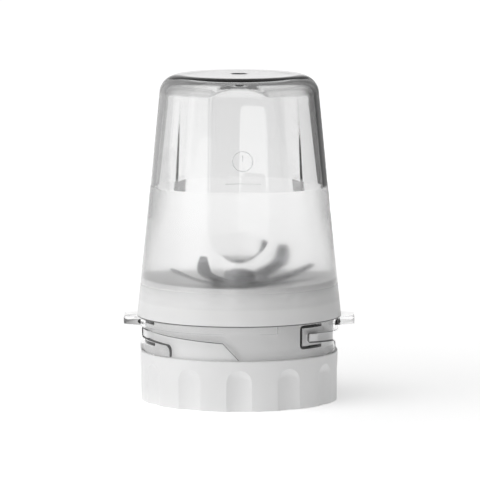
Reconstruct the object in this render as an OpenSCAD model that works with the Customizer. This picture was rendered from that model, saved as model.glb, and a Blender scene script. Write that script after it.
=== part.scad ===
// Dry mill attachment for a jug blender: a clear beaker stands closed end up
// on a blade unit, held by a three-slot bayonet. Z is up, the front is -Y and
// the origin is the centre of the collar's bottom face.

/* [Grip collar] */
// Outside radius of the grip collar
collar_r = 46.4; // [46.2:0.1:46.6]
// Height of the grip collar
collar_h = 23.6; // [23.6:0.1:23.8]
// Radius of the socket that drops over the motor base
socket_r = 42; // [41.5:0.1:42.5]
// Depth of the plain part of the socket
socket_h = 10; // [8:0.5:10]
// Number of thumb flutes round the collar
flute_count = 12; // [8:1:14]
// Width of one flute
flute_w = 11.8; // [9:0.1:12]
// Depth of one flute at its middle
flute_depth = 1.5; // [0.8:0.1:1.6]
// Height of the plain band above the flutes
flute_top_band = 4.2; // [3:0.1:6]

/* [Blade holder] */
// Outside radius of the neck that carries the bayonet lugs
neck_r = 44.2; // [44:0.1:44.3]
// Height of the shoulder that carries the sealing ring
shoulder_z = 42.5; // [42:0.1:43]
// Outside radius of the drum inside the beaker
drum_r = 41.8; // [41:0.1:42]
// Height of the drum's rim
drum_top_z = 56.6; // [56.4:0.1:57]
// Height of the middle of the dished deck
deck_z = 53.6; // [53.4:0.1:53.8]
// Wall thickness of the holder
holder_wall = 2.2; // [1.8:0.1:2.4]

/* [Beaker] */
// Outside radius of the beaker where it leaves its flange
cup_r = 48; // [47.9:0.1:48.1]
// Radius that the beaker loses for each millimetre of height
cup_taper = 0.1005; // [0.095:0.0005:0.105]
// Height of the closed end
cup_top_z = 153.4; // [150:0.1:156]
// Wall thickness of the beaker
cup_wall = 2.4; // [2.3:0.1:2.5]
// Thickness of the closed end
cup_top_wall = 3; // [2.5:0.1:4]
// Radius of the rounded edge round the closed end
cup_corner_r = 9.5; // [8:0.5:11]
// Reach of the two lock tabs from the axis
tab_reach = 54.2; // [52:0.1:56]
// Width of a lock tab at its root
tab_root_w = 29; // [26:0.5:32]
// Width of a lock tab at its tip
tab_tip_w = 20; // [18:0.5:24]

/* [Finger grooves] */
// Number of V grooves down the beaker
groove_count = 3; // [3:1:3]
// Half width of a groove
groove_half_w = 13.8; // [12:0.1:14.5]
// Distance of a groove's crest from the axis at its top
groove_crest_r = 34.6; // [34:0.1:35]
// Distance that the crest moves out for each millimetre down
groove_crest_lean = 0.045; // [0.03:0.005:0.06]
// Height of a groove's lowest point
groove_end_z = 69.6; // [69:0.1:72]

/* [Bayonet] */
// Angle of the first slot's closed end, from the front
slot_end_a = 44; // [44:1:44]
// Height of a slot at its closed end
slot_h = 3.9; // [3.8:0.1:4]
// Height of the top edge of a slot at its closed end
slot_top_z = 35; // [34.9:0.1:35.1]
// Angle that the beaker turns to come free
turn_a = 36; // [34:1:37]
// Rise of the beaker for each degree of turn
helix_per_deg = 0.05; // [0.05:0.01:0.05]

/* [Cutter] */
// Radius of the drive shaft
shaft_r = 4; // [4:0.1:4.2]
// Thickness of the blade sheet
blade_t = 1.2; // [1:0.1:1.2]
// Reach of the upturned blade
tip_blade_r = 30; // [28:0.5:31]
// Reach of the shallow blade
low_blade_r = 30.5; // [28:0.5:31]
// Direction of the upturned blade, from the front
tip_blade_a = -34; // [-90:1:90]
// Direction of the shallow blade, from the front
low_blade_a = -72; // [-90:1:90]
// Number of teeth on the drive coupling
coupling_teeth = 6; // [4:1:8]

/* [Hidden] */
$fn = 96;
big = 200;

// Grip collar
collar_web_t = 3;
collar_web_r = 32.4;
socket_relief_r = 42.6;
key_count = 4;
key_a = 16;
key_r = 40;
key_h = 3;
bayonet_count = 3;

// Blade holder
neck_in_r = neck_r - holder_wall;
drum_in_r = drum_r - holder_wall;
drum_rim_r = 39.3;
drum_rim_drop = 1.6;
foot_t = 2.4;
foot_r = 33;
deck_flat_r = 16;
deck_t = 2.6;
boss_r = 3.8;
boss_h = 14.6;
screw_circle_r = 37.6;
screw_hole_r = 1.65;
screw_r = 1.6;
screw_head_r = 3;
screw_count = 3;
screw_depth = 14;
screw_play = 0.2;

// Spring tongue and lug
lug_start = 0.5;
lug_a = 11.2;
lug_z = 31.4;
lug_h = 2.7;
lug_r = 46.6;
slit_back_a = 4.8;
slit_a = 19.8;
slit_back_w_a = 1.8;
slit_w = 1.5;
slit_low_z = 28.4;
slit_high_z = 38.2;

// Bottom cover
cover_t = 3;
cover_r = 41.4;
cover_z = collar_h - collar_web_t - cover_t;
cover_hole_r = 17.5;
guard_h = 3.4;
guard_t = 1.6;
screw_seat_h = 1.6;
screw_recess_h = 2.6;

// Bearing stack
housing_r = 11;
housing_bore_r = 7.5;
housing_z = 25;
flange_r = 18;
flange_t = 3;
gasket_t = 1;
flange_z = deck_z - deck_t - gasket_t - flange_t;
flange_screw_circle_r = 14.4;
small_screw_r = 1.2;
small_head_r = 2.2;
bush_h = 10;
bush_gap = 0.03;
seal_h = 4;
seal_lip_gap = 0.3;
seal_cavity = 1.8;
cap_t = 0.8;
shaft_bottom_z = 13;
coupling_z = 11;
coupling_r = 13.4;
tooth_h = 5;
tooth_half_a = 13;
tooth_in_r = 8;
disc_t = 3;
coupling_hub_r = 8;
coupling_hub_h = 3.4;
insert_r = 6;
insert_h = 9;
washer_t = 0.8;
washer_r = 7;
clip_t = 0.8;
clip_r = 6.5;
clip_neck_r = 3.2;
clip_gap_w = 3.2;

// Cutter stack, from the deck up
stack_z = deck_z + 0.4;
stud_r = shaft_r - 0.8;
low_z = stack_z + washer_t;
tip_z = low_z + blade_t;
lock_z = tip_z + blade_t;
lock_t = 0.6;
nut_z = lock_z + lock_t;
nut_h = 3;
nut_flat_r = 5.2;
low_hub_r = 9;
tip_hub_r = 8;
lock_r = 6.4;
lock_teeth = 8;
shaft_top_z = nut_z + nut_h + 0.6;

// Beaker
skirt_z = collar_h + 0.4;
skirt_low_r = 46.5;
skirt_high_r = 47;
flange_low_z = 36.6;
flange_high_z = 40;
flange_out_r = 48.4;
lip_out_r = 49.2;
lip_sectors = [[-80, -7.4], [12, 22]];
skirt_in_r = 45.1;
cone_start_z = flange_high_z + (cup_r - cup_wall - skirt_in_r) / cup_taper;
cup_in_corner_r = cup_corner_r - cup_wall;
slot_a = turn_a + 40;
slot_entry_a = turn_a - 4;
slot_steps = 8;
gate_r = 3.7;
gate_depth = 0.8;
tab_in_r = 40;
tab_root_x = 44.5;
tab_t = 3.2;
tab_corner_r = 2.6;

// Sealing ring
ring_gap = 0.3;
ring_h = 4;

function cup_out(z) = cup_r - cup_taper * (z - flange_high_z);
function arc(cx, cy, r, a0, a1, n = 12) =
    [for (i = [0:n]) let (a = a0 + (a1 - a0) * i / n) [cx + r * cos(a), cy + r * sin(a)]];

// Puts children at an angle from the front, anticlockwise seen from above.
module at_angle(a) {
    rotate([0, 0, a]) children();
}

module ring_of(count, first = 0) {
    for (i = [0:count - 1]) at_angle(first + i * 360 / count) children();
}

module tube(r_out, r_in, h) {
    difference() {
        cylinder(r = r_out, h = h);
        translate([0, 0, -1]) cylinder(r = r_in, h = h + 2);
    }
}

// A pie slice from angle a0 to a1, for cutting a ring into sectors.
module sector(a0, a1, z0, z1) {
    steps = 6;
    pts = [for (i = [0:steps]) let (a = a0 + (a1 - a0) * i / steps) [big * sin(a), -big * cos(a)]];
    translate([0, 0, z0]) linear_extrude(height = z1 - z0) polygon(concat([[0, 0]], pts));
}

module ring_sector(r_out, r_in, a0, a1, z0, z1) {
    intersection() {
        translate([0, 0, z0]) tube(r_out, r_in, z1 - z0);
        sector(a0, a1, z0 - 1, z1 + 1);
    }
}

// Extrudes an outline drawn as [along the surface, height] outwards from r0 to r1 at the front.
module radial_cut(r0, r1) {
    translate([0, -r0, 0]) rotate([90, 0, 0]) linear_extrude(height = r1 - r0) children();
}

module flute() {
    rise = collar_r * (1 - cos(asin(flute_w / 2 / collar_r)));
    scoop_r = (pow(flute_w / 2, 2) + pow(flute_depth - rise, 2)) / (2 * (flute_depth - rise));
    arch_z = collar_h - flute_top_band - flute_w / 2;
    intersection() {
        translate([0, -collar_r + flute_depth - scoop_r, -1]) cylinder(r = scoop_r, h = collar_h + 2);
        radial_cut(collar_r - 4, collar_r + 4) {
            translate([-flute_w / 2, -1]) square([flute_w, arch_z + 1]);
            translate([0, arch_z]) circle(d = flute_w);
        }
    }
}

module grip_collar() color("white") {
    web_z = collar_h - collar_web_t;
    key_z = socket_h + 1;
    difference() {
        union() {
            rotate_extrude() polygon([
                [socket_r, 0], [collar_r - 0.4, 0], [collar_r, 0.4],
                [collar_r, collar_h - 0.6], [collar_r - 0.6, collar_h],
                [collar_web_r, collar_h], [collar_web_r, web_z],
                [socket_relief_r, web_z], [socket_relief_r, socket_h], [socket_r, socket_h],
            ]);
            ring_of(key_count, 45)
                ring_sector(socket_relief_r + 1, key_r, -key_a / 2, key_a / 2, key_z, key_z + key_h);
        }
        ring_of(flute_count) flute();
        ring_of(screw_count)
            translate([0, -screw_circle_r, web_z - 1])
                cylinder(r = screw_hole_r + screw_play, h = collar_web_t + 2, $fn = 24);
    }
}

// The C-shaped slit that frees a spring tongue, drawn from its closed side at angle 0.
module tongue_slit() {
    ring_sector(neck_r + 2, neck_in_r - 1, 0, slit_a, slit_low_z - slit_w / 2, slit_low_z + slit_w / 2);
    ring_sector(neck_r + 2, neck_in_r - 1, 0, slit_a, slit_high_z - slit_w / 2, slit_high_z + slit_w / 2);
    ring_sector(neck_r + 2, neck_in_r - 1, 0, slit_back_w_a, slit_low_z, slit_high_z);
}

module blade_holder() color("white") {
    rim = drum_top_z;
    difference() {
        union() {
            rotate_extrude() polygon([
                [foot_r, collar_h], [neck_r, collar_h], [neck_r, shoulder_z],
                [drum_r, shoulder_z], [drum_r, rim - drum_rim_drop - 1.2],
                [drum_r - 0.7, rim - drum_rim_drop], [drum_rim_r + 0.8, rim - 0.3],
                [drum_rim_r, rim], [drum_rim_r - 1, rim - 0.1],
                [deck_flat_r, deck_z], [housing_r, deck_z], [housing_r, deck_z - deck_t],
                [deck_flat_r + 4, deck_z - deck_t], [drum_in_r - 1, rim - deck_t - 1],
                [drum_in_r, rim - deck_t - 3], [drum_in_r, shoulder_z - holder_wall],
                [neck_in_r, shoulder_z - holder_wall], [neck_in_r, collar_h + foot_t],
                [foot_r, collar_h + foot_t],
            ]);
            ring_of(screw_count)
                translate([0, -screw_circle_r, collar_h]) cylinder(r = boss_r, h = boss_h, $fn = 32);
            ring_of(bayonet_count, slot_end_a)
                ring_sector(lug_r, neck_r - 1, lug_start, lug_start + lug_a, lug_z, lug_z + lug_h);
        }
        ring_of(bayonet_count, slot_end_a - slit_back_a) tongue_slit();
        ring_of(screw_count)
            translate([0, -screw_circle_r, collar_h - 1])
                cylinder(r = screw_hole_r, h = screw_depth, $fn = 24);
    }
}

module bottom_cover() color("gainsboro") {
    difference() {
        union() {
            translate([0, 0, cover_z]) tube(cover_r, cover_hole_r, cover_t);
            translate([0, 0, cover_z - guard_h]) tube(cover_hole_r + guard_t, cover_hole_r, guard_h + 1);
        }
        ring_of(screw_count) translate([0, -screw_circle_r, cover_z - 1]) {
            cylinder(r = screw_hole_r + screw_play, h = cover_t + 2, $fn = 24);
            cylinder(r = screw_head_r + 0.3, h = screw_recess_h, $fn = 32);
        }
    }
}

module bearing_housing() color("silver") {
    difference() {
        union() {
            translate([0, 0, housing_z]) cylinder(r = housing_r, h = deck_z - housing_z);
            translate([0, 0, flange_z]) cylinder(r = flange_r, h = flange_t);
        }
        translate([0, 0, housing_z - 1]) cylinder(r = housing_bore_r, h = big);
        ring_of(screw_count, 60)
            translate([0, -flange_screw_circle_r, flange_z - 1])
                cylinder(r = small_screw_r + 0.1, h = flange_t + 2, $fn = 24);
    }
}

module housing_gasket() color("dimgray") {
    difference() {
        translate([0, 0, flange_z + flange_t]) tube(flange_r, housing_r, gasket_t);
        ring_of(screw_count, 60)
            translate([0, -flange_screw_circle_r, flange_z])
                cylinder(r = small_screw_r + screw_play, h = 9, $fn = 24);
    }
}

module bush() color("peru") {
    tube(housing_bore_r, shaft_r + bush_gap, bush_h);
}

module upper_bush() {
    translate([0, 0, deck_z - cap_t - seal_h - bush_h]) bush();
}

module lower_bush() {
    translate([0, 0, housing_z]) bush();
}

module shaft_seal() color("black") {
    translate([0, 0, deck_z - cap_t - seal_h]) rotate_extrude() polygon([
        [housing_bore_r, 0], [housing_bore_r, seal_h], [shaft_r + 1.6, seal_h],
        [shaft_r + seal_lip_gap, seal_h - 0.6], [shaft_r + seal_lip_gap, seal_h - 1.4],
        [shaft_r + seal_cavity, seal_h - 2.2], [shaft_r + seal_cavity, 1],
        [shaft_r + seal_lip_gap, 1], [shaft_r + seal_lip_gap, 0],
    ]);
}

module seal_cap() color("silver") {
    translate([0, 0, deck_z - cap_t]) tube(housing_bore_r, shaft_r + 0.5, cap_t);
}

module screw(shank_r, head_r, head_h, length) {
    difference() {
        union() {
            cylinder(r = shank_r, h = length, $fn = 24);
            translate([0, 0, -head_h]) cylinder(r = head_r, h = head_h, $fn = 32);
        }
        for (a = [0, 90]) rotate([0, 0, a])
            translate([-head_r * 0.6, -0.3, -head_h - 1]) cube([head_r * 1.2, 0.6, 1 + head_h * 0.6]);
    }
}

module cover_screws() color("lightgray") {
    head_seat_z = cover_z + screw_seat_h;
    ring_of(screw_count) translate([0, -screw_circle_r, head_seat_z]) screw(screw_r, screw_head_r, 1.5, 16);
}

module housing_screws() color("lightgray") {
    ring_of(screw_count, 60)
        translate([0, -flange_screw_circle_r, flange_z])
            screw(small_screw_r, small_head_r, 1.3, flange_t + gasket_t);
}

module drive_shaft() color("silver") {
    clip_z = housing_z - washer_t - clip_t;
    difference() {
        union() {
            translate([0, 0, shaft_bottom_z]) cylinder(r = shaft_r, h = low_z - shaft_bottom_z);
            translate([0, 0, low_z]) cylinder(r = stud_r, h = shaft_top_z - low_z - 0.4);
            translate([0, 0, shaft_top_z - 0.4]) cylinder(r1 = stud_r, r2 = stud_r - 0.5, h = 0.4);
        }
        translate([0, 0, clip_z]) tube(shaft_r + 1, clip_neck_r, clip_t);
    }
}

module lower_thrust_washer() color("white") {
    translate([0, 0, housing_z - washer_t - 0.1]) tube(washer_r, shaft_r + 0.1, washer_t);
}

module retaining_clip() color("dimgray") {
    difference() {
        translate([0, 0, housing_z - washer_t - clip_t + 0.05])
            tube(clip_r, clip_neck_r + 0.05, clip_t - 0.15);
        translate([-clip_gap_w / 2, 0, 0]) cube([clip_gap_w, clip_r + 1, housing_z]);
    }
}

module drive_coupling() color("#2a2a2c") {
    disc_z = coupling_z + tooth_h;
    difference() {
        union() {
            translate([0, 0, disc_z]) cylinder(r = coupling_r, h = disc_t);
            translate([0, 0, disc_z + disc_t]) cylinder(r = coupling_hub_r, h = coupling_hub_h);
            translate([0, 0, coupling_z + 1.6]) cylinder(r = coupling_hub_r + 0.6, h = tooth_h);
            ring_of(coupling_teeth)
                ring_sector(
                    coupling_r - 0.6, tooth_in_r, -tooth_half_a, tooth_half_a, coupling_z, disc_z + 1
                );
        }
        translate([0, 0, shaft_bottom_z]) cylinder(r = insert_r, h = big);
    }
}

module coupling_insert() color("goldenrod") {
    translate([0, 0, shaft_bottom_z]) tube(insert_r, shaft_r, insert_h);
}

module upper_thrust_washer() color("white") {
    translate([0, 0, stack_z]) tube(washer_r, shaft_r, washer_t);
}

// One wing, drawn pointing to the front: a bent sheet cut to a plan outline.
module wing(profile, plan) {
    intersection() {
        rotate([90, 0, -90]) linear_extrude(height = 60, center = true) polygon(profile);
        translate([0, 0, -1]) linear_extrude(height = 40) polygon(plan);
    }
}

// Outline of a sheet of thickness blade_t that follows points given as [distance, height].
function sheet(pts) = concat(pts, [for (i = [len(pts) - 1:-1:0]) pts[i] + [0, blade_t / cos(slope(pts, i))]]);
function slope(pts, i) =
    let (a = pts[max(i - 1, 0)], b = pts[min(i + 1, len(pts) - 1)]) min(atan2(b[1] - a[1], b[0] - a[0]), 62);

module low_blade() color("silver") {
    side = sheet([[0, 0], [low_hub_r, 0], [low_hub_r + 1, 0], [14, 0.5], [20, 2.2], [low_blade_r, 7.2]]);
    plan = [[-7, 0], [7, 0], [7, -9], [5, -15], [3.4, -24], [0.5, -low_blade_r],
        [-3, -low_blade_r + 0.6], [-3.6, -24], [-4.8, -15], [-7, -9]];
    translate([0, 0, low_z]) difference() {
        union() {
            cylinder(r = low_hub_r, h = blade_t);
            for (a = [0, 180]) at_angle(low_blade_a + a) wing(side, plan);
        }
        translate([0, 0, -1]) cylinder(r = stud_r, h = 9);
    }
}

module tip_blade() color("silver") {
    side = sheet([
        [0, 0], [tip_hub_r - 1, 0], [tip_hub_r, 0], [13, 0.9],
        [22, 3.6], [26, 5.4], [tip_blade_r, 13.2],
    ]);
    plan = [[-6.5, 0], [6.5, 0], [6.5, -8], [4.6, -13], [3.7, -21], [3.4, -25.5],
        [0.8, -tip_blade_r - 1], [-2.8, -tip_blade_r - 1], [-3, -25], [-4.2, -13], [-6.5, -8]];
    translate([0, 0, tip_z]) difference() {
        union() {
            cylinder(r = tip_hub_r, h = blade_t);
            for (a = [0, 180]) at_angle(tip_blade_a + a) wing(side, plan);
        }
        translate([0, 0, -1]) cylinder(r = stud_r, h = 9);
    }
}

module lock_washer() color("gray") {
    translate([0, 0, lock_z]) difference() {
        tube(lock_r, stud_r, lock_t);
        ring_of(lock_teeth) translate([-0.5, -lock_r - 0.6, -1]) cube([1, 1.4, 3]);
    }
}

module blade_nut() color("silver") {
    translate([0, 0, nut_z]) difference() {
        intersection() {
            cylinder(r = nut_flat_r / cos(30), h = nut_h, $fn = 6);
            cylinder(r1 = nut_flat_r * 1.5, r2 = nut_flat_r, h = nut_h);
        }
        translate([0, 0, -1]) cylinder(r = stud_r, h = 9);
    }
}

module sealing_ring() color("whitesmoke") {
    in_r = drum_r + ring_gap;
    out_r = skirt_in_r - cup_taper * (shoulder_z + ring_h - cone_start_z) - ring_gap;
    translate([0, 0, shoulder_z + 0.1]) rotate_extrude() polygon([
        [in_r, 0], [out_r - 0.6, 0], [out_r - 0.6, 1], [out_r, 1.5], [out_r - 0.6, 2],
        [out_r - 0.6, 2.6], [out_r, 3.1], [out_r - 0.5, ring_h - 0.1], [in_r, ring_h - 0.1],
    ]);
}

// Solid of revolution of the beaker, outside then inside, closed on the axis.
module cup_outside() {
    corner_z = cup_top_z - cup_corner_r;
    rotate_extrude() polygon(concat(
        [
            [0, skirt_z], [skirt_low_r, skirt_z], [skirt_high_r, flange_low_z],
            [flange_out_r, flange_low_z + 0.2], [flange_out_r, flange_high_z - 0.6],
            [cup_r + 0.1, flange_high_z + 0.9],
        ],
        arc(cup_out(corner_z) - cup_corner_r, corner_z, cup_corner_r, 6, 90),
        [[0, cup_top_z]]
    ));
}

module cup_inside() {
    top_z = cup_top_z - cup_top_wall;
    corner_z = top_z - cup_in_corner_r;
    rotate_extrude() polygon(concat(
        [[0, skirt_z - 1], [skirt_in_r, skirt_z - 1], [skirt_in_r, cone_start_z]],
        arc(cup_out(corner_z) - cup_wall - cup_in_corner_r, corner_z, cup_in_corner_r, 6, 90),
        [[0, top_z]]
    ));
}

// Radius of the beaker's outside at a height, with the rounded edge at the top.
function cup_wall_r(z) =
    let (corner_z = cup_top_z - cup_corner_r)
    z < corner_z
        ? cup_out(z)
        : cup_out(corner_z) - cup_corner_r + sqrt(max(0, pow(cup_corner_r, 2) - pow(z - corner_z, 2)));

// Distance of the wall in front of the axis, at a distance x beside the groove's middle.
function wall_depth(x, z) = sqrt(pow(cup_wall_r(min(z, cup_top_z - cup_corner_r)), 2) - x * x);

// Distance of the groove's surface in front of the axis. It is a V whose two sides reach the wall at
// groove_half_w, and the lower end turns the same V round a half circle.
function groove_depth(x, z) =
    let (
        centre_z = groove_end_z + groove_half_w,
        drop = max(0, centre_z - z),
        reach = norm([x, drop]) / groove_half_w,
        rim_x = reach == 0 ? 0 : x / reach,
        rim_z = drop == 0 ? z : centre_z - drop / reach,
        lean_top_z = cup_top_z - cup_corner_r,
        crest = groove_crest_r + groove_crest_lean * (lean_top_z - min(lean_top_z, max(z, centre_z)))
    )
    crest + (wall_depth(drop == 0 ? groove_half_w : rim_x, rim_z) - crest) * reach;

// Solid that dents the wall along one groove. A larger inset moves its surface in towards the axis.
module groove_cutter(inset) {
    across = [for (i = [-5:5]) i / 5 * groove_half_w * 1.12];
    centre_z = groove_end_z + groove_half_w;
    top_z = cup_top_z + 4;
    up = concat(
        [for (s = [1.12, 1, 0.86, 0.65, 0.4, 0.2]) centre_z - s * groove_half_w],
        [for (i = [0:3]) centre_z + (cup_top_z - cup_corner_r - centre_z) * i / 3],
        [top_z]
    );
    nx = len(across);
    nz = len(up);
    far = cup_r + 12;
    near = [for (z = up) for (x = across) [x, -groove_depth(x, z) + inset, z]];
    away = [for (z = up) for (x = across) [x, -far, z]];
    n = nx * nz;
    quads = [for (j = [0:nz - 2]) for (i = [0:nx - 2]) let (k = j * nx + i) [k, k + 1, k + nx + 1, k + nx]];
    rim = concat(
        [for (i = [0:nx - 2]) [i, i + 1]],
        [for (j = [0:nz - 2]) [j * nx + nx - 1, (j + 1) * nx + nx - 1]],
        [for (i = [nx - 1:-1:1]) [(nz - 1) * nx + i, (nz - 1) * nx + i - 1]],
        [for (j = [nz - 1:-1:1]) [j * nx, (j - 1) * nx]]
    );
    polyhedron(
        points = concat(near, away),
        faces = concat(
            [for (q = quads) for (t = [[0, 1, 2], [0, 2, 3]]) [for (v = t) q[v]]],
            [for (q = quads) for (t = [[0, 2, 1], [0, 3, 2]]) [for (v = t) n + q[v]]],
            [for (e = rim) [e[1], e[0], n + e[0], n + e[1]]]
        )
    );
}

// Cutter for one bayonet slot: a channel that drops as it leaves its closed end, then a wide open entry.
module bayonet_slot() {
    step_a = slot_a / slot_steps;
    mid_r = (skirt_low_r + skirt_high_r) / 2;
    half = mid_r * tan(step_a / 2) + 0.02;
    for (i = [0:slot_steps - 1]) {
        a = i * step_a;
        top0 = slot_top_z - helix_per_deg * a;
        top1 = slot_top_z - helix_per_deg * (a + step_a);
        entry = a >= slot_entry_a - 0.5 * step_a;
        low0 = entry ? skirt_z - 2 : top0 - slot_h;
        low1 = entry ? skirt_z - 2 : top1 - slot_h;
        last = i == slot_steps - 1;
        at_angle(a + step_a / 2) radial_cut(skirt_in_r - 2, skirt_high_r + 3) polygon([
            [-half, low0], [half, low1], [half, last ? skirt_z - 0.5 : top1], [-half, top0],
        ]);
    }
}

// Ear that the thumb pushes, with rounded corners.
module lock_tab() {
    x = tab_reach - tab_corner_r;
    y = tab_tip_w / 2 - tab_corner_r;
    half = tab_root_w / 2;
    translate([0, 0, flange_low_z]) linear_extrude(height = tab_t) polygon(concat(
        [[tab_in_r, -half], [tab_root_x, -half]],
        arc(x, -y, tab_corner_r, -50, 0, 6),
        arc(x, y, tab_corner_r, 0, 50, 6),
        [[tab_root_x, half], [tab_in_r, half]]
    ));
}

// Raised lip along the front edge of the flange, in two lengths.
module flange_lip() {
    for (s = lip_sectors)
        ring_sector(lip_out_r, skirt_in_r + 1, s[0], s[1], flange_low_z + 0.3, flange_high_z - 0.4);
}

module mill_beaker() color([0.86, 0.88, 0.9, 0.4]) {
    difference() {
        union() {
            cup_outside();
            for (side = [0, 180]) rotate([0, 0, side]) lock_tab();
            flange_lip();
        }
        difference() {
            cup_inside();
            ring_of(groove_count) groove_cutter(cup_wall);
        }
        ring_of(groove_count) groove_cutter(0);
        ring_of(bayonet_count, slot_end_a) bayonet_slot();
        translate([0, 0, cup_top_z - gate_depth]) cylinder(r = gate_r, h = 2, $fn = 32);
    }
}

grip_collar();
blade_holder();
bottom_cover();
bearing_housing();
housing_gasket();
upper_bush();
lower_bush();
shaft_seal();
seal_cap();
cover_screws();
housing_screws();
drive_shaft();
lower_thrust_washer();
retaining_clip();
drive_coupling();
coupling_insert();
upper_thrust_washer();
low_blade();
tip_blade();
lock_washer();
blade_nut();
sealing_ring();
mill_beaker();
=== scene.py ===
"""Looks of the mill attachment: a clear beaker with a frosted lower part over a white blade unit.

Lengths are in millimetres in the shape functions, and mesh builders scale them to metres.
Angles are in degrees from the front (-Y), anticlockwise seen from above."""
import math

import bmesh
import bpy
from mathutils import Matrix, Vector


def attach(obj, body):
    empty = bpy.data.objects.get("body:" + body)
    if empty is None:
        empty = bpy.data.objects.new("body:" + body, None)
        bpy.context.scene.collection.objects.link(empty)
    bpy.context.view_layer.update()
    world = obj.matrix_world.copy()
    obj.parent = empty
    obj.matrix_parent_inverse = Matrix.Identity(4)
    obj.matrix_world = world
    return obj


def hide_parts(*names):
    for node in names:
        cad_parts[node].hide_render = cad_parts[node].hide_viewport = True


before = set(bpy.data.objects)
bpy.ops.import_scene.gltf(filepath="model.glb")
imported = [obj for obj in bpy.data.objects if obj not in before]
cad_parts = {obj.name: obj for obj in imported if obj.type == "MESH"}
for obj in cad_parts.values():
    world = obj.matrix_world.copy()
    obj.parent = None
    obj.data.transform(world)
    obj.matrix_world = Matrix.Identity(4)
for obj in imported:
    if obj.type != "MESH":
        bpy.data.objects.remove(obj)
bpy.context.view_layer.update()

MM = 0.001

# ---------------------------------------------------------------- camera, floor and light

CAMERA_DISTANCE = 2.25
CAMERA_HEIGHT = 0.33
AIM = (0.0004, 0.0, 0.0750)
LENS_MM = 361.0

# Dome levels: from the front round by the left, the back and the right
ROUND_LEVELS = [
    (0.0, 0.1), (0.12, 0.33), (0.25, 0.45), (0.36, 0.5), (0.405, 0.5), (0.46, 0.6), (0.49, 1.0),
    (0.51, 1.0), (0.53, 0.2), (0.58, 0.15), (0.61, 0.03), (0.65, 0.02), (0.70, 0.02), (0.85, 0.02),
    (1.0, 0.1),
]
# The same from straight down to straight up: the overhead light's share, and the level behind
HIGH_LEVELS = [(0.0, 0.0), (0.55, 0.0), (0.8, 1.0), (1.0, 1.0)]
BACKDROP_LEVELS = [(0.0, 1.0), (0.5, 1.0), (0.56, 0.9), (1.0, 0.9)]
OVERHEAD_LEVEL = 0.3
TOP_WATTS = 9
LEFT_WATTS = 5.5
LEFT_STRIP_WATTS = 4
FRONT_STRIP_WATTS = 3.4
RIGHT_STRIP_WATTS = 0.7
FLOOR_BOXES = [
    ((-0.42, -2.0), (0.30, 3.4)), ((0.30, 0.16), (1.3, 0.75)), ((-1.3, 0.03), (-0.42, 0.75)),
]
FLOOR_GLOW = (0.42, 0.76)
FLOOR_GLOW_REACH = (0.08, 0.8)


def camera():
    data = bpy.data.cameras.new("camera")
    data.lens = LENS_MM
    data.sensor_width = 36
    data.clip_end = 50
    ob = bpy.data.objects.new("camera", data)
    bpy.context.scene.collection.objects.link(ob)
    ob.location = (AIM[0], -CAMERA_DISTANCE, CAMERA_HEIGHT)
    ob.rotation_euler = (Vector(AIM) - ob.location).to_track_quat("-Z", "Y").to_euler()
    bpy.context.scene.camera = ob


def floor():
    """A white table. Its far part is just wider than the camera's view, so that rays bent sideways
    by the clear wall miss it and meet the flags."""
    bm = bmesh.new()
    for (x0, y0), (x1, y1) in FLOOR_BOXES:
        bm.faces.new([bm.verts.new(p) for p in ((x0, y0, 0), (x1, y0, 0), (x1, y1, 0), (x0, y1, 0))])
    ob = add_object("floor", bm, [floor_material()])


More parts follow.
